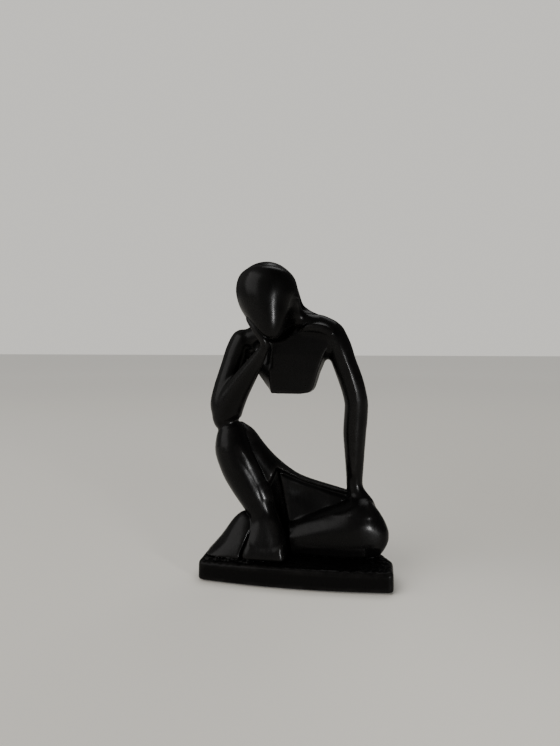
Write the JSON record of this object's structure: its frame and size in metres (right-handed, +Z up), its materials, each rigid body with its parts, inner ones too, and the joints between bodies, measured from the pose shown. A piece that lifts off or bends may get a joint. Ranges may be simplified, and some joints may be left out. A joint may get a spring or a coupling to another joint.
{
  "type": "kneeling thinker figurine",
  "caption": "Free-standing ornament: a faceless abstract figure, half kneeling on a slab plinth with its head leaning on one hand, in near-black satin lacquer.",
  "frame": {"origin": "under the figure, midway between the plinth's ends, on the surface the figurine stands on", "axes": "+X to the viewer's right seen from the front, +Y to the back, +Z up"},
  "size_m": [0.151, 0.0797, 0.2502],
  "materials": {
    "lacquered_figure": "satin to gloss lacquer over cast resin, lightly mottled",
    "lacquered_plinth": "satin lacquer over cast resin, smooth sides and a hammered glossy upper face",
    "pin_steel": "drawn steel rod",
    "pad_foam": "matte fine-celled foam sheet"
  },
  "bodies": {
    "root": {"plinth": "lacquered_plinth", "folded_leg": "lacquered_figure", "folded_foot": "lacquered_figure", "planted_foot": "lacquered_figure", "raised_shin": "lacquered_figure", "raised_thigh": "lacquered_figure", "torso": "lacquered_figure", "head": "lacquered_figure", "propping_upper_arm": "lacquered_figure", "propping_forearm": "lacquered_figure", "straight_arm": "lacquered_figure", "neck_pin": "pin_steel", "straight_shoulder_pin": "pin_steel", "propping_shoulder_pin": "pin_steel", "elbow_pin": "pin_steel", "elbow_rest_pin": "pin_steel", "knee_pin": "pin_steel", "ankle_pin": "pin_steel", "planted_foot_pin": "pin_steel", "folded_foot_pin": "pin_steel", "calf_pin": "pin_steel", "folded_leg_pin": "pin_steel", "seat_pin": "pin_steel", "hip_pin": "pin_steel", "hand_pin": "pin_steel", "base_pad": "pad_foam"}
  },
  "joints": []
}
